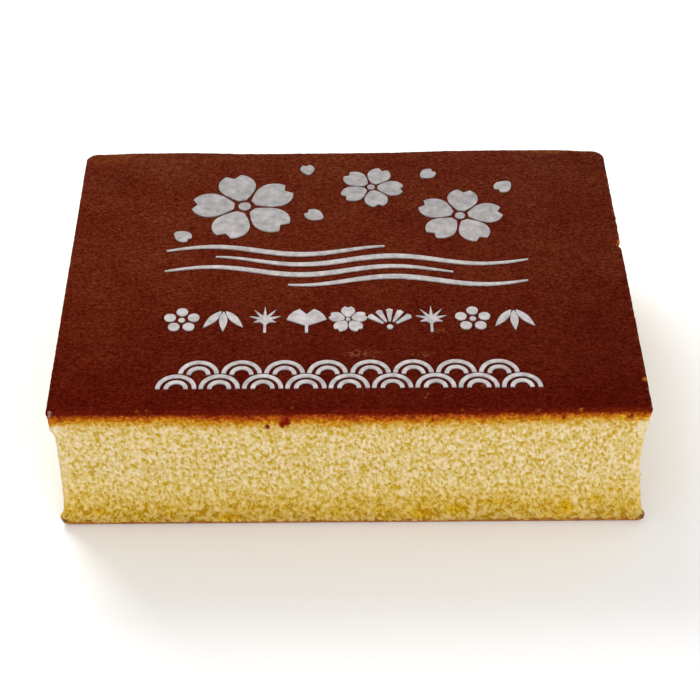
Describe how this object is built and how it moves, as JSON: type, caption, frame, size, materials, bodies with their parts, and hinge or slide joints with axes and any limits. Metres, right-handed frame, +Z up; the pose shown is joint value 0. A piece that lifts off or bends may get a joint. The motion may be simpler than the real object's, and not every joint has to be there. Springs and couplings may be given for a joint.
{
  "type": "castella",
  "caption": "Rectangular slab of honey sponge with a browned top crust, waisted cut sides and a raised stencilled sugar design of blossoms, water and waves.",
  "frame": {"origin": "centre of the flat underside, on the surface that the slab rests on", "axes": "+X along the front cut face, to the right as it is looked at; +Y away from that face, to the back; +Z up through the crust"},
  "size_m": [0.193, 0.1396, 0.052],
  "materials": {
    "sponge": "soft open crumb, pale yellow with golden pores, matte",
    "crust": "fine wrinkled red-brown baked skin, dull satin",
    "sugar": "sifted white powdered sugar, matte"
  },
  "bodies": {
    "root": {"castella": "sponge"}
  },
  "joints": []
}
